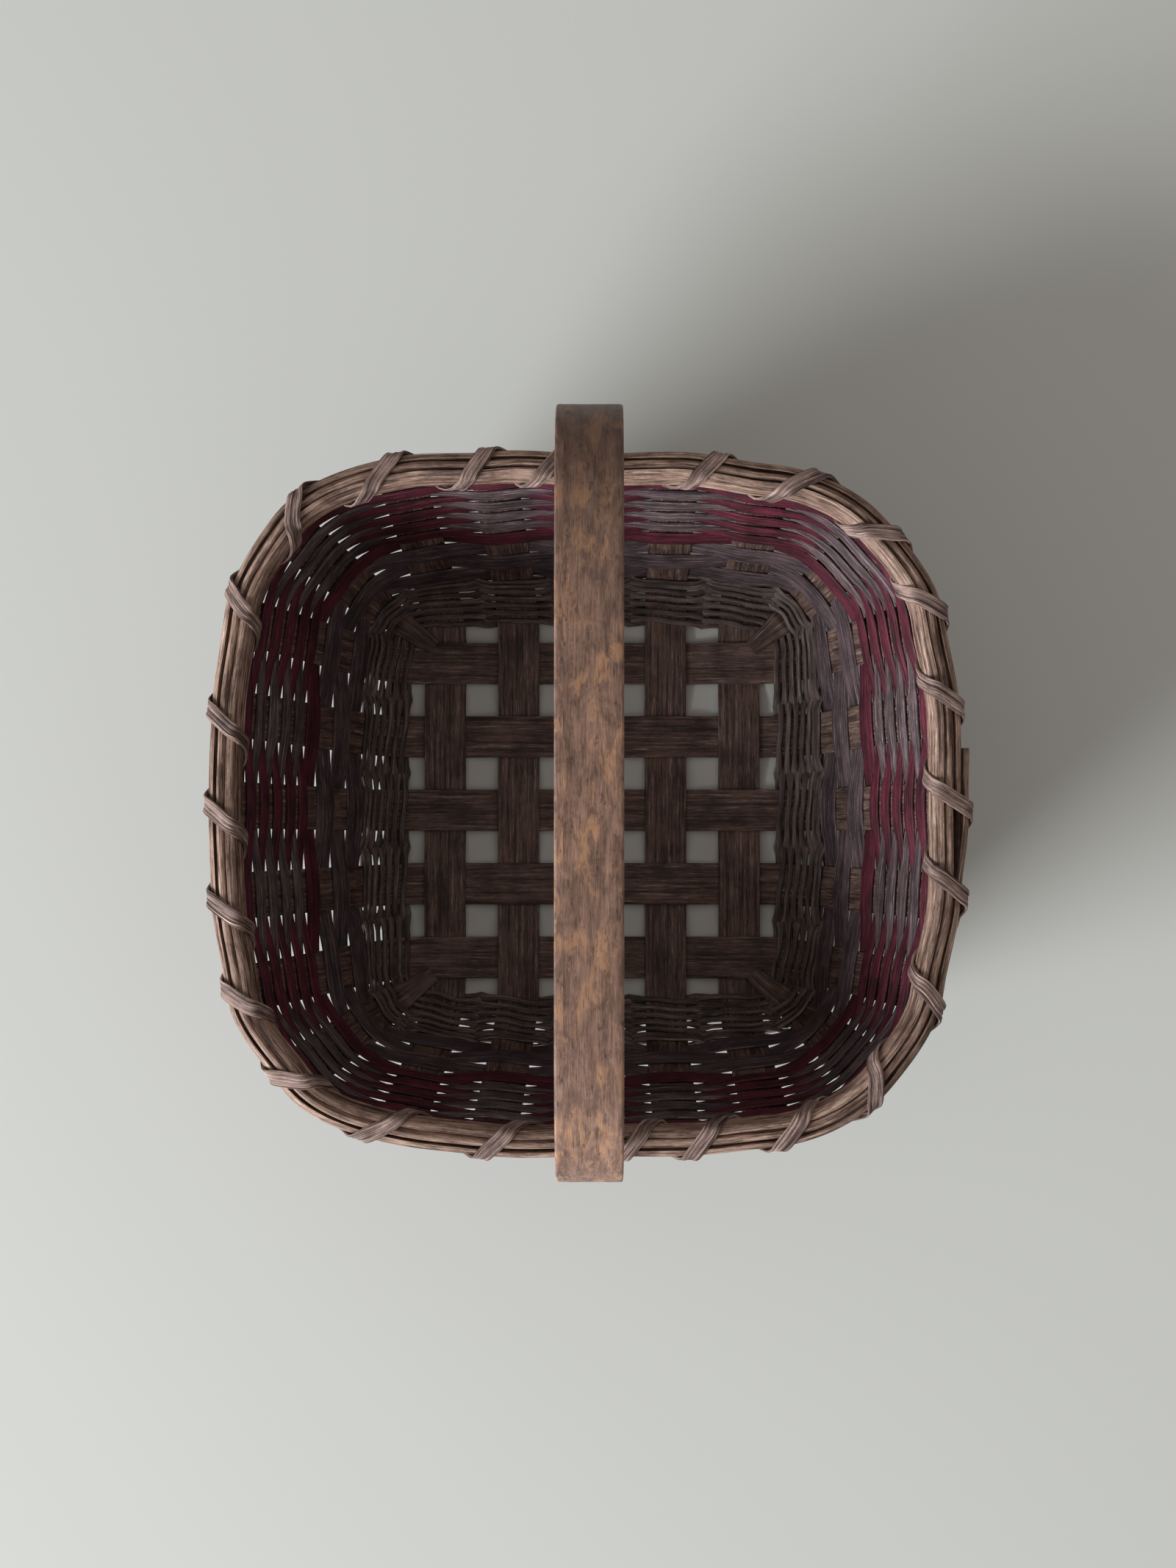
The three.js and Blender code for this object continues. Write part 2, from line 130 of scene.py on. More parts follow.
# Heights up the wall's middle surface, from the edge of the base
TWINING_TOP = twining_row_place(TWINING_ROWS - 1) + TWIST + STRAND_SIZE / 2 + 2 * CLEARANCE
WALL_ROWS, ROWS_TOP = stack_rows(list_rows(), TWINING_TOP)
SLOT_PLACE = ROWS_TOP + 2 * CLEARANCE + LASHING_THICKNESS / 2
RIM_BOTTOM = SLOT_PLACE + LASHING_THICKNESS / 2 + 2 * CLEARANCE
WALL_ROWS += stack_rows([("rim_row_weaver", RIM_ROW_WIDTH, "natural", 0)], RIM_BOTTOM)[0]
RIM_PLACE = RIM_BOTTOM + RIM_HEIGHT / 2
RIM_TOP = RIM_BOTTOM + RIM_HEIGHT
FILLER_PLACE = RIM_TOP - FILLER_SIZE / 2
STAKE_TOP = FILLER_PLACE - FILLER_SIZE / 2 - CLEARANCE

BEND_ANGLE = math.pi / 2 - WALL_LEAN
BEND_END = FLAT_FOOT + FOOT_RADIUS * BEND_ANGLE
BEND_REACH = FLAT_FOOT + FOOT_RADIUS * math.sin(BEND_ANGLE)


def profile(along, reach):
    """How far out and up the wall's middle lies, and its slope there."""
    along = np.asarray(along, float)
    angle = np.clip((along - FLAT_FOOT) / FOOT_RADIUS, 0, BEND_ANGLE)
    straight = np.maximum(along - BEND_END, 0)
    slope = (reach - BEND_REACH) / (RIM_PLACE - BEND_END)
    out = np.minimum(along, FLAT_FOOT) + FOOT_RADIUS * np.sin(angle) + straight * slope
    up = FOOT_RADIUS * (1 - np.cos(angle)) + straight * math.cos(WALL_LEAN)
    rising = np.where(straight > 0, math.cos(WALL_LEAN), np.sin(angle))
    reaching = np.where(straight > 0, slope, np.cos(angle))
    size = np.hypot(rising, reaching)
    return out, up, reaching / size, rising / size


def squared(half_a, half_b, b, power):
    return half_a * (1 - abs(b / half_b) ** power) ** (1 / power)


class Stake:
    """One stake's foot, and the way that it leans in plan."""

    def __init__(self, foot, head, swell, is_corner=False, is_handle=False):
        outward = np.array([head[0] - foot[0], head[1] - foot[1], 0.0])
        reach = float(np.linalg.norm(outward))
        self.reach = reach + swell
        self.outward = outward / reach
        self.side = np.array([-self.outward[1], self.outward[0], 0.0])
        self.start = np.array([foot[0], foot[1], STAKE_MID_HEIGHT])
        self.is_corner = is_corner
        self.is_handle = is_handle


def make_stakes():
    stakes = []
    for side in range(4):
        along_x = side % 2 == 0
        out_sign = 1 if side < 2 else -1
        slide_sign = 1 if side in (0, 3) else -1
        axis = 0 if along_x else 1
        for i in range(SIDE_STAKES):
            slide = (i - MIDDLE) * STAKE_PITCH * slide_sign
            fanned = slide * RIM_FAN_SHARE
            foot = [out_sign * squared(BASE_HALF[axis], BASE_HALF[1 - axis], slide, BASE_SQUARENESS), slide]
            head = [out_sign * squared(RIM_HALF[axis], RIM_HALF[1 - axis], fanned, RIM_SQUARENESS), fanned]
            if not along_x:
                foot.reverse()
                head.reverse()
            is_handle = not along_x and i == MIDDLE
            head[0] += 0 if is_handle else RIM_SHIFT_X
            stakes.append(Stake(foot, head, RIM_SWELL[len(stakes)], is_handle=is_handle))
        sign = (1 if side in (0, 3) else -1, 1 if side < 2 else -1)
        last = MIDDLE * STAKE_PITCH
        edge = last + STAKE_WIDTH / 2
        foot = [
            sign[a] * (squared(BASE_HALF[a], BASE_HALF[1 - a], last, BASE_SQUARENESS) + edge) / 2
            for a in (0, 1)
        ]
        head = [sign[a] * RIM_HALF[a] * 2 ** (-1 / RIM_SQUARENESS) for a in (0, 1)]
        head[0] += RIM_SHIFT_X
        stakes.append(Stake(foot, head, RIM_SWELL[len(stakes)], is_corner=True))
    return stakes


STAKES = make_stakes()
CORNER_TIP = twining_row_place(ROWS_BEFORE_CORNERS) - TWIST - STRAND_SIZE / 2


def half_width(stake, along):
    along = np.asarray(along, float)
    if stake.is_handle:
        return np.full_like(along, HANDLE_WIDTH / 2)
    if not stake.is_corner:
        return np.full_like(along, STAKE_WIDTH / 2)
    grown = np.clip((along - CORNER_TIP) / CORNER_TAPER, 0, 1)
    return STAKE_WIDTH / 2 * (CORNER_TIP_SHARE + (1 - CORNER_TIP_SHARE) * grown)


def unit(vectors):
    return vectors / np.linalg.norm(vectors, axis=-1, keepdims=True)


def lengths_along(points):
    """How far each point lies along a line through them all."""
    return np.append(0, np.cumsum(np.linalg.norm(np.diff(points, axis=0), axis=1)))


def on_stake(stake, along, shift=0.0, inward=0.0):
    """Points on a stake's middle surface, and the directions up it and into the basket."""
    out, up, reaching, rising = profile(along, stake.reach)
    place = stake.start + out[..., None] * stake.outward
    place[..., 2] += up
    upward = reaching[..., None] * stake.outward + rising[..., None] * np.array([0, 0, 1.0])
    inner = -rising[..., None] * stake.outward + reaching[..., None] * np.array([0, 0, 1.0])
    shift = np.broadcast_to(shift, out.shape)[..., None]
    inward = np.broadcast_to(inward, out.shape)[..., None]
    return place + shift * stake.side + inward * inner, upward, inner


def round_wall(turn, along, inward):
    """Points round the wall: turn counts stakes, along is the height up the wall."""
    turn = np.asarray(turn, float)
    along = np.broadcast_to(np.asarray(along, float), turn.shape)
    inward = np.broadcast_to(np.asarray(inward, float), turn.shape)
    places = np.zeros(turn.shape + (3,))
    upwards = np.zeros_like(places)
    inners = np.zeros_like(places)
    whole = np.floor(turn).astype(int)
    for index in np.unique(whole):
        chosen = whole == index
        here, there = STAKES[index % AROUND], STAKES[(index + 1) % AROUND]
        share = (turn[chosen] - index)[:, None]
        p0, up0, in0 = on_stake(here, along[chosen], 0.0, inward[chosen])
        p1, up1, in1 = on_stake(there, along[chosen], 0.0, inward[chosen])
        span = np.linalg.norm(p1 - p0, axis=-1, keepdims=True)
        near = 2 * share**3 - 3 * share**2 + 1
        far = -2 * share**3 + 3 * share**2
        leaving = (share**3 - 2 * share**2 + share) * span
        arriving = (share**3 - share**2) * span
        places[chosen] = near * p0 + leaving * here.side + far * p1 + arriving * there.side
        upwards[chosen] = unit(near * up0 + far * up1)
        inners[chosen] = unit(near * in0 + far * in1)
    return places, upwards, inners


def stake_share(index, along):
    """A stake's half width as a share of the pitch at that height."""
    stake = STAKES[index % AROUND]
    place = np.array([float(along)])
    here = on_stake(stake, place)[0]
    there = on_stake(STAKES[(index + 1) % AROUND], place)[0]
    return float(half_width(stake, place)[0] / np.linalg.norm(there - here))


# Shader maths


class Value:
    """A socket that Python's operators turn into Math nodes."""

    def __init__(self, tree, socket):
        self.tree = tree
        self.socket = socket

    def node(self, kind, settings=None, **sockets):
        """A new node. A socket is given by its name, or as i and its number."""
        made = self.tree.nodes.new(kind)
        for name, value in (settings or {}).items():
            setattr(made, name, value)
        for name, value in sockets.items():
            target = made.inputs[int(name[1:]) if name[1:].isdigit() else name]
            if isinstance(value, Value):
                self.tree.links.new(value.socket, target)
            else:
                target.default_value = value
        return made

    def out(self, kind, settings=None, output=0, **sockets):
        return Value(self.tree, self.node(kind, settings, **sockets).outputs[output])

    def math(self, operation, first, second):
        return self.out("ShaderNodeMath", {"operation": operation}, i0=first, i1=second)

    def __add__(self, other):
        return self.math("ADD", self, other)

    def __sub__(self, other):
        return self.math("SUBTRACT", self, other)

    def __mul__(self, other):
        return self.math("MULTIPLY", self, other)

    def __truediv__(self, other):
        return self.math("DIVIDE", self, other)

    def between(self, low, high):
        """Goes smoothly from 0 at low to 1 at high."""
        settings = {"interpolation_type": "SMOOTHSTEP"}
        return self.out("ShaderNodeMapRange", settings, i0=self, i1=low, i2=high)

    def mix(self, first, second):
        """A colour between two colours, by this value."""
        settings = {"data_type": "RGBA", "clamp_factor": True}
        return self.out("ShaderNodeMix", settings, output=2, i0=self, i6=first, i7=second)

    def grain(self, across, long, wide, place, detail=4.0, roughness=0.65, distortion=0.0):
        """Noise along this value and across, its grains about so long and wide."""
        vector = self.out("ShaderNodeCombineXYZ", X=self / long, Y=across / wide, Z=place)
        return self.out("ShaderNodeTexNoise", Vector=vector, Scale=1.0, Detail=detail, Roughness=roughness,
                        Distortion=distortion)


def new_material(name):
    material = bpy.data.materials.new(name)
    material.use_nodes = True
    tree = material.node_tree
    shader = tree.nodes["Principled BSDF"]
    place = Value(tree, None).out("ShaderNodeUVMap", {"uv_map": "UVMap"})
    parts = place.node("ShaderNodeSeparateXYZ", i0=place)
    shader.inputs["Specular IOR Level"].default_value = 0.35
    return material, shader, Value(tree, parts.outputs[0]), Value(tree, parts.outputs[1])


def rgba(color):
    return (*color, 1.0)


def shade(color, share):
    return rgba([level * share for level in color])


def connect(shader, color, roughness, height, relief):
    """Gives a shader its colour, roughness and relief."""
    bump = color.out("ShaderNodeBump", Strength=1.0, Distance=relief, Height=height)
    for name, value in (("Base Color", color), ("Roughness", roughness), ("Normal", bump)):
        color.tree.links.new(value.socket, shader.inputs[name])


FIBRE_LENGTH = 6 * MM
STREAK_LENGTH = 32 * MM
MOTTLE_SIZE = 14 * MM


def reed_material(name, dark, light, pale, fibre=0.36 * MM, streak=0.8 * MM, relief=0.12 * MM,
                  pale_amount=0.6, lined=0.5):
    """Split cane: short fine fibres, longer streaks, and slow changes along the strip."""
    material, shader, along, across = new_material(name)
    fine = along.grain(across, FIBRE_LENGTH, fibre, 0.3, roughness=0.75)
    broad = along.grain(across, STREAK_LENGTH, streak, 2.7)
    slow = along.grain(across, MOTTLE_SIZE, MOTTLE_SIZE, 5.1)
    tone = (fine * 0.7 + broad * 0.7 + slow * 0.6 - 0.5).between(0.30, 0.72)
    streaks = (broad * 0.45 + fine * 0.55).between(0.54, 0.68) * pale_amount
    color = streaks.mix(tone.mix(rgba(dark), rgba(light)), rgba(pale))
    cracks = fine.between(0.43, 0.32) * 0.8
    color = cracks.mix(color, shade(dark, 0.4))
    lines = broad.between(0.45, 0.36) * lined
    color = lines.mix(color, shade(dark, 0.5))
    connect(shader, color, fine * 0.25 + 0.5, fine * 0.7 + broad * 0.5, relief)
    return material


# Along Y, where the painted shade on the handle's back end begins and where it is full
PAINTED_SHADE_FROM = 0.0
PAINTED_SHADE_FULL = 125 * MM


def handle_material():
    """Bent wood under a walnut stain: mottled, with short grain and dark flecks, and painted shade that
    darkens the back end.
    """
    material, shader, along, across = new_material("walnut_stained_wood")
    grain = along.grain(across, 5 * MM, 0.5 * MM, 0.2, roughness=0.7)
    bands = along.grain(across, 20 * MM, 2.2 * MM, 1.9, distortion=0.8)
    patches = along.grain(across, 9 * MM, 5 * MM, 7.0, detail=5.0, roughness=0.7, distortion=1.0)
    glow = along.grain(across, 13 * MM, 5.5 * MM, 11.0, distortion=0.6)
    flecks = along.grain(across, 4 * MM, 2 * MM, 4.4, detail=3.0)
    tone = (grain * 0.45 + bands * 0.65 + patches * 0.75 - 0.43).between(0.22, 0.80)
    color = tone.mix(rgba(HANDLE_DARK), rgba(HANDLE_LIGHT))
    color = (glow.between(0.50, 0.66) * 0.62).mix(color, rgba(HANDLE_GLOW))
    color = (flecks.between(0.59, 0.70) * 0.62).mix(color, rgba(HANDLE_FLECK_AND_SHADE))
    pores = grain.between(0.41, 0.30) * 0.4
    color = pores.mix(color, shade(HANDLE_DARK, 0.5))
    # Painted shade: the handle grows darker toward its back end (+Y), the side away from the window light,
    # and it darkens to the fleck colour
    place = along.out("ShaderNodeTexCoord", output="Object")
    painted_back_shade = along.out("ShaderNodeSeparateXYZ", output="Y", i0=place).between(PAINTED_SHADE_FROM, PAINTED_SHADE_FULL)
    color = (painted_back_shade * 0.55).mix(color, rgba(HANDLE_FLECK_AND_SHADE))
    connect(shader, color, grain * 0.2 + 0.45, grain + bands * 0.4, 0.15 * MM)
    return material


def srgb(*levels):
    """A colour written as the eye reads it, 0 to 255, in the renderer's linear light."""
    shares = [level / 255 for level in levels]
    return tuple(s / 12.92 if s <= 0.04045 else ((s + 0.055) / 1.055) ** 2.4 for s in shares)


HANDLE_DARK = srgb(88, 64, 54)
HANDLE_LIGHT = srgb(158, 123, 106)
HANDLE_GLOW = srgb(188, 140, 105)
# Colour of the dark flecks in the wood, and also of the painted shade at the handle's back end
HANDLE_FLECK_AND_SHADE = srgb(60, 44, 40)

FINISHES = {
    "stake": reed_material(
        "dark_walnut_reed", srgb(60, 46, 41), srgb(124, 98, 89), srgb(200, 174, 160), streak=1.0 * MM,
    ),
    "foot": reed_material(
        "grey_brown_round_reed", srgb(56, 46, 44), srgb(118, 102, 98), srgb(196, 178, 170),
        fibre=0.3 * MM, lined=0.3,
    ),
    "natural": reed_material(
        "weathered_flat_reed", srgb(48, 39, 42), srgb(110, 91, 95), srgb(194, 173, 177),
        pale_amount=0.8, lined=0.6,
    ),
    "red": reed_material(
        "dyed_dark_red_reed", srgb(41, 17, 25), srgb(104, 36, 54), srgb(168, 98, 115),
        pale_amount=0.55, lined=0.6,
    ),
    "rim": reed_material(
        "pinkish_tan_rim_reed", srgb(84, 60, 51), srgb(172, 141, 125), srgb(224, 198, 182),
        fibre=0.45 * MM, streak=1.1 * MM, relief=0.34 * MM, pale_amount=0.9, lined=1.0,
    ),
    "lashing": reed_material(
        "lashing_reed", srgb(72, 53, 50), srgb(168, 141, 132), srgb(226, 203, 192),
        relief=0.22 * MM, pale_amount=0.8, lined=0.9,
    ),
    "handle": handle_material(),
}


# Strips


def clear_selection():
    if bpy.context.object and bpy.context.object.mode != "OBJECT":
        bpy.ops.object.mode_set(mode="OBJECT")
    bpy.ops.object.select_all(action="DESELECT")


def wander(seed, places, step, size, around=None):
    """A slow, smooth change along a strip, the same on every run. It meets itself after `around`."""
    chance = np.random.default_rng(seed)
    places = np.asarray(places, float) - np.min(places)
    count = max(4, round((around or places.max()) / step) + (0 if around else 2))
    levels = chance.uniform(-1, 1, count)
    spots = places / around * count if around else places / step
    base = np.floor(spots).astype(int)
    share = spots - base
    share = share * share * (3 - 2 * share)
    return size * (levels[base % count] * (1 - share) + levels[(base + 1) % count] * share)


REED_CORNER = 0.4 * MM
CORNER_POINTS = 4


def flat_section(half_wide, half_face, spans, corner=REED_CORNER):
    """A flat strip's outline, across and through, each from -1 to 1, with rounded corners."""
    corner = min(corner, half_face)
    quarter = np.linspace(0, math.pi / 2, CORNER_POINTS)
    angles = np.concatenate([math.pi / 2 - quarter, -quarter])
    x, y = half_wide - corner, half_face - corner
    across = np.concatenate([np.linspace(-x, x, spans + 1)[1:-1], x + corner * np.cos(angles)])
    through = np.repeat([y, -y], CORNER_POINTS) + corner * np.sin(angles)
    through = np.concatenate([np.full(spans - 1, half_face), through])
    return np.append(across, -across) / half_wide, np.append(through, -through) / half_face


def oval_reed(half_wide, half_face, spans, thin=0.3):
    """A flat reed's outline: thinner toward both edges."""
    across, through = flat_section(half_wide, half_face, spans)
    return across, through * (1 - thin * across**2)


def round_section(points):
    angles = math.pi / 2 + np.linspace(0, -2 * math.pi, points, endpoint=False)
    return np.cos(angles), np.sin(angles)


DRIFT_LENGTH = 25 * MM
SMOOTH_EDGE = math.radians(40)


def tube(name, finish, centre, wide, face, half_wide, half_face, closed, seed, section, grooves=0.0):
    """A strip along a route: a grid, its rows placed round the route's sections, then welded."""
    count = len(centre)
    steps = count if closed else count - 1
    across, through = section
    points = len(across)
    half_wide = np.broadcast_to(half_wide, count)
    half_face = np.broadcast_to(half_face, count)
    lengths = lengths_along(np.concatenate([centre, centre[:1]]) if closed else centre)
    outline = np.stack([across * np.mean(half_wide), through * np.mean(half_face)], axis=1)
    girths = lengths_along(np.concatenate([outline, outline[:1]]))
    chance = np.random.default_rng(seed)
    ridge = chance.uniform(-1, 1, points) * grooves
    around = lengths[-1] if closed else None
    drifts = [wander(seed * 31 + j, lengths, DRIFT_LENGTH, grooves, around) for j in range(points)]
    drift = np.stack(drifts, axis=1)
    clear_selection()
    bpy.ops.mesh.primitive_grid_add(x_subdivisions=steps, y_subdivisions=points, size=1.0, calc_uvs=True)
    piece = bpy.context.object
    piece.name = name + "_piece"
    mesh = piece.data
    mesh.name = piece.name
    flat = np.zeros(len(mesh.vertices) * 3)
    mesh.vertices.foreach_get("co", flat)
    flat = flat.reshape(-1, 3)
    row = np.rint((flat[:, 0] + 0.5) * steps).astype(int)
    spot = np.rint((flat[:, 1] + 0.5) * points).astype(int)
    here = row % count if closed else row
    corner = spot % points
    raised = through[corner] * half_face[here] + ridge[corner] + drift[here, corner]
    aside = across[corner] * half_wide[here]
    placed = centre[here] + wide[here] * aside[:, None] + face[here] * raised[:, None]
    mesh.vertices.foreach_set("co", placed.ravel())
    loops = np.zeros(len(mesh.loops), dtype=int)
    mesh.loops.foreach_get("vertex_index", loops)
    uv = np.stack([lengths[row] + seed * 0.37, girths[spot] + seed * 0.05], axis=1)
    mesh.uv_layers[0].name = "UVMap"
    mesh.uv_layers[0].data.foreach_set("uv", uv[loops].ravel())
    mesh.update()
    bpy.ops.object.mode_set(mode="EDIT")
    bpy.ops.mesh.select_all(action="SELECT")
    bpy.ops.mesh.remove_doubles(threshold=1e-6)
    if not closed:
        bpy.ops.mesh.select_all(action="DESELECT")
        bpy.ops.mesh.select_mode(type="EDGE")
        bpy.ops.mesh.select_non_manifold()
        bpy.ops.mesh.fill_holes(sides=0)
    bpy.ops.mesh.select_all(action="SELECT")
    bpy.ops.mesh.normals_make_consistent(inside=False)
    bpy.ops.object.mode_set(mode="OBJECT")
    bpy.ops.object.shade_smooth_by_angle(angle=SMOOTH_EDGE)
    piece.data.materials.clear()
    piece.data.materials.append(FINISHES[finish])
    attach(piece, "root")
    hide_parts(name)


def route_directions(centre, wide, closed):
    """A route's widths, made square to the way along it, and its faces."""
    if closed:
        ahead = np.roll(centre, -1, axis=0) - np.roll(centre, 1, axis=0)
    else:
        ahead = np.gradient(centre, axis=0)
    ahead = unit(ahead)
    wide = unit(wide - np.sum(wide * ahead, axis=1, keepdims=True) * ahead)
    return wide, unit(np.cross(ahead, wide))


def smooth(share):
    share = np.clip(share, 0, 1)
    return share * share * share * (share * (6 * share - 15) + 10)


WALL_STEPS = 12
EDGE_DROP = 0.32
CROSSING_POWER = 1.35
NARROW_THICKNESS = 1.35 * MM
SLOT_GROWTH = 1.8 * MM
NARROW_SPREAD = 0.4
WIDE_SPREAD = 0.13
TIGHTEST_TURN = 3


def weave_offset(turn, along, inside_at, offset):
    """In or out of the wall: bowed over each stake, crossing over in the gaps."""
    result = np.zeros_like(turn)
    whole = np.floor(turn + 0.5).astype(int)
    for index in np.unique(whole):
        here = 1 if index % 2 == inside_at else -1
        hold = stake_share(index, along)
        chosen = whole == index
        away = np.abs(turn[chosen] - index)
        held = 1 - EDGE_DROP * (away / hold) ** 2
        left = 1 - np.clip((away - hold) / (0.5 - hold), 0, 1)
        crossing = (1 - EDGE_DROP) * left**CROSSING_POWER
        result[chosen] = here * offset * np.where(away < hold, held, crossing)
    return result


def weaver(name, width, reed, inside_at, place, seed):
    """A row of the wall: packed down so tightly that it spreads wherever it lies on a stake."""
    turn = np.arange(AROUND * WALL_STEPS) / WALL_STEPS
    narrow = width < WIDE_RED_WIDTH
    thickness = NARROW_THICKNESS if narrow else WEAVER_THICKNESS
    lean = wander(seed, turn, 1.3, (0.2 if narrow else 0.35) * MM, AROUND)
    offset = weave_offset(turn, place, inside_at, (STAKE_THICKNESS + thickness) / 2)
    centre, upward, _ = round_wall(turn, place + lean, offset)
    wide, face = route_directions(centre, upward, True)
    tight = 0.88 + 0.12 * np.cos((turn - TIGHTEST_TURN) / AROUND * 2 * math.pi)
    most = (NARROW_SPREAD if narrow else WIDE_SPREAD) * tight
    spread = 1 + most * smooth((np.abs(offset) / offset.max() - 0.1) / 0.7)
    halves = (width + CLEARANCE) / 2 * spread + wander(seed + 5, turn, 2.1, 0.012 * width, AROUND)
    section = oval_reed(width / 2, thickness / 2, 6 if narrow else 8, 0.4)
    tube(name, reed, centre, wide, face, halves, thickness / 2, True, seed, section, 0.06 * MM)


for number, (name, width, reed, inside_at, place) in enumerate(WALL_ROWS):
    closing = SLOT_GROWTH if name == "red_weaver_under_rim" else 0
    weaver(name, width + closing, reed, inside_at, place + closing / 2, 11 + number)


# Twining: a pair of strands that wrap each stake and cross between stakes


FOOT_STRAND = 2.0 * MM
FOOT_STRAND_DEPTH = 1.45 * MM
STRAND_STEPS = 10
WIDEST_HOLD = 0.4


def strand_marks(starts_inside):
    """Where a strand meets each stake: the turn, the side that it lies on and the height."""
    marks = []
    sign = 1 if starts_inside else -1
    for count in range(TWINING_ROWS * AROUND):
        row, place = divmod(count, AROUND)
        index = (place - 1) % AROUND
        if STAKES[index].is_corner and row < ROWS_BEFORE_CORNERS:
            continue
        along = twining_row_place(row)
        hold = min(stake_share(index, along), WIDEST_HOLD)
        rise = sign * TWIST * 0.9
        marks += [(count - 1 - hold, sign, along - rise), (count - 1 + hold, sign, along + rise)]
        sign = -sign
    return np.array(marks).T


def twining_strand(name, starts_inside, seed):
    turns, signs, heights = strand_marks(starts_inside)
    here = np.arange((TWINING_ROWS * AROUND - 1) * STRAND_STEPS + 1) / STRAND_STEPS - 1
    spot = np.clip(np.searchsorted(turns, here) - 1, 0, len(turns) - 2)
    eased = smooth((here - turns[spot]) / (turns[spot + 1] - turns[spot]))
    most = (STAKE_THICKNESS + FOOT_STRAND_DEPTH) / 2 + HAIR_GAP
    inward = most * (signs[spot] * (1 - eased) + signs[spot + 1] * eased)
    height = heights[spot] * (1 - eased) + heights[spot + 1] * eased
    centre, upward, _ = round_wall(here, height, inward)
    wide, face = route_directions(centre, upward, False)
    halves = FOOT_STRAND / 2 * (2 - np.abs(inward) / most)
    tube(name, "foot", centre, wide, face, halves, FOOT_STRAND_DEPTH / 2, False, seed, round_section(8))


twining_strand("twining_strand_a", True, 41)
twining_strand("twining_strand_b", False, 43)


# Stakes: one flat reed up a wall, through the base weave and up the wall opposite


BASE_POINTS = 90
WALL_POINTS = 46
WALL_FOOT = 1.5 * MM
STAKE_SPANS = 10
STAKE_GROOVES = 0.05 * MM


def base_strip(index, along_x):
    """The woven stretch of a base strip, with its rises and dips."""
    across = (index - MIDDLE) * STAKE_PITCH
    reach = MIDDLE * STAKE_PITCH + STAKE_WIDTH / 2 + CLEARANCE
    spots = np.linspace(-reach, reach, BASE_POINTS)
    nearest = np.clip(np.rint(spots / STAKE_PITCH) + MIDDLE, 0, SIDE_STAKES - 1).astype(int)
    lift = STAKE_THICKNESS / 2 + 0.08 * MM
    over_at = 0 if along_x else 1
    levels = np.array([1 if (index + other) % 2 == over_at else -1 for other in range(SIDE_STAKES)])
    away = spots / STAKE_PITCH + MIDDLE - nearest
    hold = STAKE_WIDTH / 2 / STAKE_PITCH * 0.9
    eased = smooth((np.abs(away) - hold) / (1 - 2 * hold))
    other = np.clip(nearest + np.sign(away).astype(int), 0, SIDE_STAKES - 1)
    lifts = lift * (levels[nearest] * (1 - eased) + levels[other] * eased)
    points = np.zeros((len(spots), 3))
    points[:, 0 if along_x else 1] = spots
    points[:, 1 if along_x else 0] = across
    points[:, 2] = STAKE_MID_HEIGHT + lifts
    return points


def wall_strip(stake, top, count=WALL_POINTS):
    """The stretch of a strip up one wall, and its width turned toward +X or +Y."""
    place = on_stake(stake, np.linspace(WALL_FOOT, top, count))[0]
    toward = 1 if stake.side[0] + stake.side[1] > 0 else -1
    return place, toward * np.broadcast_to(stake.side, place.shape)


def whole_strip(index, along_x):
    """A whole strip's route and widths: down one wall, under the basket and up the wall opposite."""
    other_end = SIDE_STAKES - 1 - index
    near = STAKES[2 * PER_SIDE + other_end] if along_x else STAKES[3 * PER_SIDE + index]
    far = STAKES[index] if along_x else STAKES[PER_SIDE + other_end]
    down, down_wide = wall_strip(near, STAKE_TOP)
    up, up_wide = wall_strip(far, STAKE_TOP)
    under = base_strip(index, along_x)
    across = np.array([0, 1.0, 0]) if along_x else np.array([1.0, 0, 0])
    under_wide = np.broadcast_to(across, under.shape)
    centre = np.concatenate([down[::-1], under, up])
    wide = np.concatenate([down_wide[::-1], under_wide, up_wide])
    return centre, wide


def stake_piece(index, along_x, seed):
    name = f"stake_{'across' if along_x else 'along'}_{index + 1}"
    centre, wide = whole_strip(index, along_x)
    wide, face = route_directions(centre, wide, False)
    half_wide, half_face = STAKE_WIDTH / 2, STAKE_THICKNESS / 2
    section = oval_reed(half_wide, half_face, STAKE_SPANS)
    tube(name, "stake", centre, wide, face, half_wide, half_face, False, seed, section, STAKE_GROOVES)


for index in range(SIDE_STAKES):
    stake_piece(index, True, 51 + index)
    if index != MIDDLE:
        stake_piece(index, False, 61 + index)


LAID_TIP = -7.5 * MM


def corner_stake(name, stake, seed):
    """A corner stake: its cut tip lies on the first rows of twining, and the later rows hold it."""
    along = np.concatenate([np.linspace(LAID_TIP, 16 * MM, 40), np.linspace(17 * MM, STAKE_TOP, 44)])
    on_top = 1 - smooth((along - 7 * MM) / (4 * MM))
    inward = on_top * (STAKE_THICKNESS / 2 + FOOT_STRAND / 2 + 0.4 * MM)
    place = on_stake(stake, np.maximum(along, 0), 0.0, inward)[0]
    place += np.minimum(along, 0)[:, None] * stake.outward
    wide, face = route_directions(place, np.broadcast_to(stake.side, place.shape), False)
    grown = np.clip((along - LAID_TIP) / (CORNER_TAPER + CORNER_TIP - LAID_TIP), 0, 1)
    halves = STAKE_WIDTH / 2 * (CORNER_TIP_SHARE + (1 - CORNER_TIP_SHARE) * grown)
    half_face = STAKE_THICKNESS / 2
    section = oval_reed(STAKE_WIDTH / 2, half_face, STAKE_SPANS)
    tube(name, "stake", place, wide, face, halves, half_face, False, seed, section, STAKE_GROOVES)


CORNERS = ("right_back", "left_back", "left_front", "right_front")
for number, stake in enumerate(s for s in STAKES if s.is_corner):
    corner_stake(f"corner_stake_{CORNERS[number]}", stake, 71 + number)


# Rims, filler and lashing


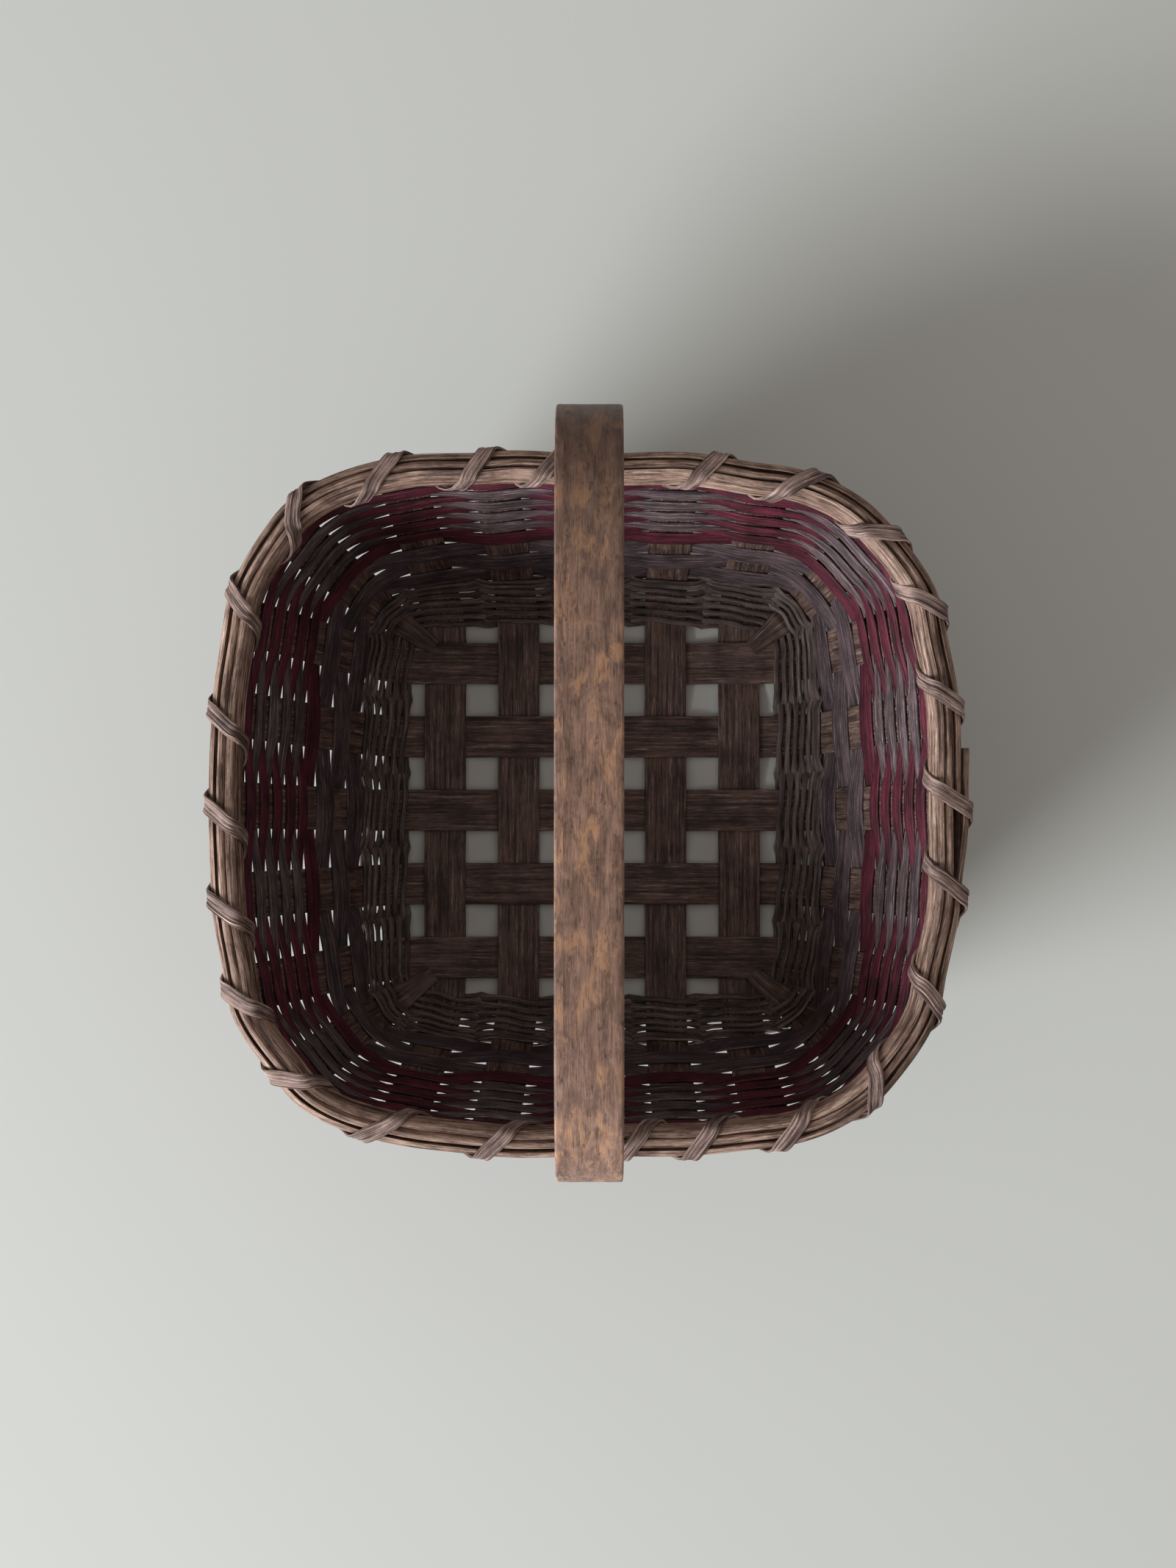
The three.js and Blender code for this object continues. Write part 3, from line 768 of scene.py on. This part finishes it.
def ring_piece(name, turn, place, inward, closed, seed, section, half_wide, half_face):
    centre, upward, _ = round_wall(turn, place, inward)
    wide, face = route_directions(centre, upward, closed)
    tube(name, "rim", centre, wide, face, half_wide, half_face, closed, seed, section, 0.1 * MM)


DOME_POWER = 2.6
RIM_POINTS = 17
RIM_HALVES = (RIM_HEIGHT / 2, RIM_THICKNESS / 2)
FILLER_HALVES = (FILLER_SIZE / 2, FILLER_SIZE / 2)


def half_round(points, domed):
    """A strip's outline, flat toward the wall and domed on the other side, which `domed` gives."""
    spots = np.linspace(-1, 1, points)
    dome = 2 * (1 - np.abs(spots) ** DOME_POWER) ** (1 / DOME_POWER) - 1
    across = np.concatenate([spots, spots[-2:0:-1]])
    through = np.concatenate([dome, -np.ones(points - 2)])
    if domed > 0:
        return across, through
    return across[::-1], -through[::-1]


RING_STEPS = 14
ring_turns = np.arange(AROUND * RING_STEPS) / RING_STEPS
ring_piece("rim_inner", ring_turns, RIM_PLACE, RIM_OFFSET, True, 81, half_round(RIM_POINTS, -1), *RIM_HALVES)

OVERLAP_START = MIDDLE
OVERLAP_TURNS = 0.6
OVERLAP_RISE_TURNS = 1.1
outer_turns = OVERLAP_START + np.linspace(0, AROUND + OVERLAP_TURNS, AROUND * RING_STEPS + 16)
lapped = smooth((outer_turns - OVERLAP_START - AROUND + OVERLAP_RISE_TURNS) / OVERLAP_RISE_TURNS)
outer_in = -RIM_OFFSET - lapped * (RIM_THICKNESS + 0.1 * MM)
ring_piece("rim_outer", outer_turns, RIM_PLACE, outer_in, False, 83, half_round(RIM_POINTS, 1), *RIM_HALVES)

back_turn = PER_SIDE + MIDDLE
front_turn = 3 * PER_SIDE + MIDDLE
handle_share = stake_share(back_turn, RIM_PLACE)
for name, start, end, seed in (
    ("rim_filler_left", back_turn, front_turn, 85),
    ("rim_filler_right", front_turn - AROUND, back_turn, 87),
):
    filler_turns = np.linspace(start + handle_share + 0.02, end - handle_share - 0.02, 12 * RING_STEPS)
    ring_piece(name, filler_turns, FILLER_PLACE, 0.0, False, seed, round_section(12), *FILLER_HALVES)


# Where each wrap crosses the rims, counted in stakes, in the order that the strip makes them
WRAP_TURNS = (
    23.94, 22.93, 22.17, 21.25, 20.47, 19.03, 17.85, 17.0, 16.09, 15.13, 14.12, 13.1,
    11.84, 10.86, 10.12, 9.15, 8.38, 6.66, 5.75, 4.96, 4.15, 3.14, 2.05, 1.12,
)
WRAP_HALF_TURN = 0.105
WRAP_FOOT_TURN = 0.25
WRAP_SLOT_TURN = 0.48
WRAP_TAIL_TURN = 0.30
WRAP_BEND = 1.5 * MM
WRAP_SMOOTHINGS = 6
WRAP_STEP = 0.7 * MM
WRAP_SPREAD = 1.14

# The wraps over the outer rim's overlap lie further out: turns, and shares of the rim's thickness
WRAP_LAPS = ((0.9, 1.5, 2.4, 2.7), (0, 1, 1, 0))


def wrap_outline(half_in, half_out, low, high):
    """One wrap's way round the rims, seen end on: in, up and the way that its face looks.

    The lengths along it follow, and then those at the slot, the inner rim's foot and top, the
    outer rim's top and foot, and the slot again.
    """
    arc = np.linspace(0, math.pi / 2, 5)
    corners = (
        (half_in - WRAP_BEND, low + WRAP_BEND, -math.pi / 2),
        (half_in - WRAP_BEND, high - WRAP_BEND, 0),
        (WRAP_BEND - half_out, high - WRAP_BEND, math.pi / 2),
        (WRAP_BEND - half_out, low + WRAP_BEND, math.pi),
    )
    points = []
    for at_in, at_up, first in corners:
        for angle in first + arc:
            face_in, face_up = math.cos(angle), math.sin(angle)
            points.append((at_in + WRAP_BEND * face_in, at_up + WRAP_BEND * face_up, face_in, face_up))
    points = np.array(points)
    spans = lengths_along(points[:, :2])
    fine = np.linspace(0, spans[-1], int(spans[-1] / WRAP_STEP) + 1)
    path = np.stack([np.interp(fine, spans, points[:, i]) for i in range(4)], axis=1)
    return path, fine, spans[[0, 4, 9, 10, 15, 19]]


def lashing_piece():
    """One strip round both rims, each wrap slanting clockwise from the inner rim to the outer."""
    half_in = RIM_OFFSET + RIM_THICKNESS / 2 + LASHING_THICKNESS / 2 + HAIR_GAP
    high = RIM_TOP + LASHING_THICKNESS / 2 + HAIR_GAP
    turns, paths = [], []
    for wrap, place in enumerate(WRAP_TURNS):
        last = wrap == len(WRAP_TURNS) - 1
        next_place = WRAP_TURNS[0] - AROUND if last else WRAP_TURNS[wrap + 1]
        lap = RIM_THICKNESS * float(np.interp(place, *WRAP_LAPS))
        path, fine, spans = wrap_outline(half_in, half_in + lap, SLOT_PLACE, high)
        slot = next_place + min(WRAP_SLOT_TURN, (place - next_place) / 2)
        tail = max(place - WRAP_TAIL_TURN, slot)
        begin = place + WRAP_SLOT_TURN if not turns else turns[-1][-1] - 0.01
        foot = min(place + WRAP_FOOT_TURN, begin)
        places = [begin, foot, place + WRAP_HALF_TURN, place - WRAP_HALF_TURN, tail, slot]
        turns.append(np.interp(fine, spans, places))
        paths.append(path)
    turns[0] -= (turns[0][0] - (turns[-1][-1] + AROUND)) * np.linspace(1, 0, len(turns[0])) ** 4
    turns, path = np.concatenate(turns), np.concatenate(paths)
    for _ in range(WRAP_SMOOTHINGS):
        before = np.append(turns[-1] + AROUND, turns[:-1])
        after = np.append(turns[1:], turns[0] - AROUND)
        turns = turns / 2 + (before + after) / 4
        path = path / 2 + (np.roll(path, 1, axis=0) + np.roll(path, -1, axis=0)) / 4
    centre, upward, inner = round_wall(turns, path[:, 1], path[:, 0])
    face = unit(path[:, 2:3] * inner + path[:, 3:] * upward)
    ahead = unit(np.roll(centre, -1, axis=0) - np.roll(centre, 1, axis=0))
    face = unit(face - np.sum(face * ahead, axis=1, keepdims=True) * ahead)
    wide = np.cross(face, ahead)
    half_face = LASHING_THICKNESS / 2
    section = flat_section(LASHING_WIDTH / 2, half_face, 9)
    halves = LASHING_WIDTH / 2 * WRAP_SPREAD
    tube("rim_lashing", "lashing", centre, wide, face, halves, half_face, True, 91, section, 0.16 * MM)


lashing_piece()


# Handle


ARCH_POINTS = 120
TAIL_POINTS = 40


def even_angles(squareness, count):
    """Angles that space points evenly along a squared arch."""
    fine = np.linspace(0, math.pi, 200001)
    power = 2 / squareness
    y = np.sign(np.cos(fine)) * np.abs(np.cos(fine)) ** power
    z = np.abs(np.sin(fine)) ** power
    gone = lengths_along(np.stack([y, z], axis=1))
    return np.interp(np.linspace(0, gone[-1], count), gone, fine)


def handle_piece():
    """One hoop: a thick arch over the basket, and a thin tail down both walls and under the base."""
    back, front = STAKES[back_turn], STAKES[front_turn]
    top = RIM_TOP + CLEARANCE
    feet = [on_stake(stake, np.array([top + SHOULDER_LENGTH]))[0][0] for stake in (back, front)]
    middle, half_span = (feet[0][1] + feet[1][1]) / 2, (feet[0][1] - feet[1][1]) / 2
    angles = even_angles(ARCH_SQUARENESS, ARCH_POINTS)
    power = 2 / ARCH_SQUARENESS
    cosine, sine = np.cos(angles), np.sin(angles)
    risen = np.abs(sine) ** power
    inset = SHOULDER_INSET * (1 - (1 - risen) ** 2)
    arch = np.zeros((len(angles), 3))
    out = (half_span - inset) * np.sign(cosine) * np.abs(cosine) ** power
    arch[:, 1] = middle + out + ARCH_SET_BACK * risen
    arch[:, 2] = feet[0][2] + ARCH_RISE * risen
    up, _ = wall_strip(back, top, TAIL_POINTS)
    down, _ = wall_strip(front, top, TAIL_POINTS)
    under = base_strip(MIDDLE, False)
    centre = np.concatenate([under, up, arch, down[::-1]])
    thick = np.concatenate([
        np.full(len(under) + len(up), STAKE_THICKNESS / 2),
        np.full(len(arch), HANDLE_THICKNESS / 2),
        np.full(len(down), STAKE_THICKNESS / 2),
    ])
    wide = np.broadcast_to(np.array([1.0, 0, 0]), centre.shape)
    wide, face = route_directions(centre, wide, True)
    section = flat_section(HANDLE_WIDTH / 2, HANDLE_THICKNESS / 2, 10, 0.7 * MM)
    tube("handle", "handle", centre, wide, face, HANDLE_WIDTH / 2, thick, True, 95, section, 0.03 * MM)


handle_piece()


# Floor, light and camera

PALE_FLOOR = srgb(206, 207, 204)
WINDOW_PLACE = Vector((-2.3, -1.6, 1.2))
WINDOW_AIM = Vector((0, 0, 0.05))
WINDOW_SIZE = 1.5
WINDOW_POWER = 150.0
WINDOW_COLOR = (0.94, 0.98, 1.0)
SOFT_COLOR = (1.0, 0.95, 0.88)
SOFT_STRENGTH = 0.36


def floor_piece():
    clear_selection()
    bpy.ops.mesh.primitive_plane_add(size=40.0)
    floor = bpy.context.object
    floor.name = "floor"
    material = bpy.data.materials.new("pale_floor")
    material.use_nodes = True
    shader = material.node_tree.nodes["Principled BSDF"]
    shader.inputs["Base Color"].default_value = rgba(PALE_FLOOR)
    shader.inputs["Roughness"].default_value = 0.9
    floor.data.materials.append(material)


floor_piece()


def window_light():
    """A soft low window toward -X and -Y."""
    clear_selection()
    bpy.ops.object.light_add(type="AREA", location=WINDOW_PLACE)
    light = bpy.context.object
    light.name = "window_light"
    light.data.size = WINDOW_SIZE
    light.data.energy = WINDOW_POWER
    light.data.color = WINDOW_COLOR
    light.rotation_euler = (WINDOW_AIM - WINDOW_PLACE).to_track_quat("-Z", "Y").to_euler()


window_light()


def studio_world():
    """Soft warm light from all round, and a plain pale backdrop behind the floor."""
    world = bpy.data.worlds.new("studio")
    bpy.context.scene.world = world
    world.use_nodes = True
    tree = world.node_tree
    soft_light = tree.nodes["Background"]
    soft_light.inputs["Color"].default_value = rgba(SOFT_COLOR)
    soft_light.inputs["Strength"].default_value = SOFT_STRENGTH
    backdrop = tree.nodes.new("ShaderNodeBackground")
    backdrop.inputs["Color"].default_value = rgba(PALE_FLOOR)
    seen = tree.nodes.new("ShaderNodeLightPath")
    mix = tree.nodes.new("ShaderNodeMixShader")
    tree.links.new(seen.outputs["Is Camera Ray"], mix.inputs[0])
    tree.links.new(soft_light.outputs[0], mix.inputs[1])
    tree.links.new(backdrop.outputs[0], mix.inputs[2])
    tree.links.new(mix.outputs[0], tree.nodes["World Output"].inputs["Surface"])


studio_world()

PHOTO_SIZE = (1600, 2133)
FOCAL_PIXELS = 3200
CAMERA_PLACE = (2.7 * MM, -15.5 * MM, 909 * MM)
CAMERA_TILT = (math.radians(1.62), math.radians(0.27), 0.0)


def camera_piece():
    clear_selection()
    bpy.ops.object.camera_add(location=CAMERA_PLACE, rotation=CAMERA_TILT)
    camera = bpy.context.object
    camera.data.lens = camera.data.sensor_width * FOCAL_PIXELS / PHOTO_SIZE[1]
    camera.data.clip_end = 20
    bpy.context.scene.camera = camera


camera_piece()
bpy.context.scene.view_settings.view_transform = "Standard"
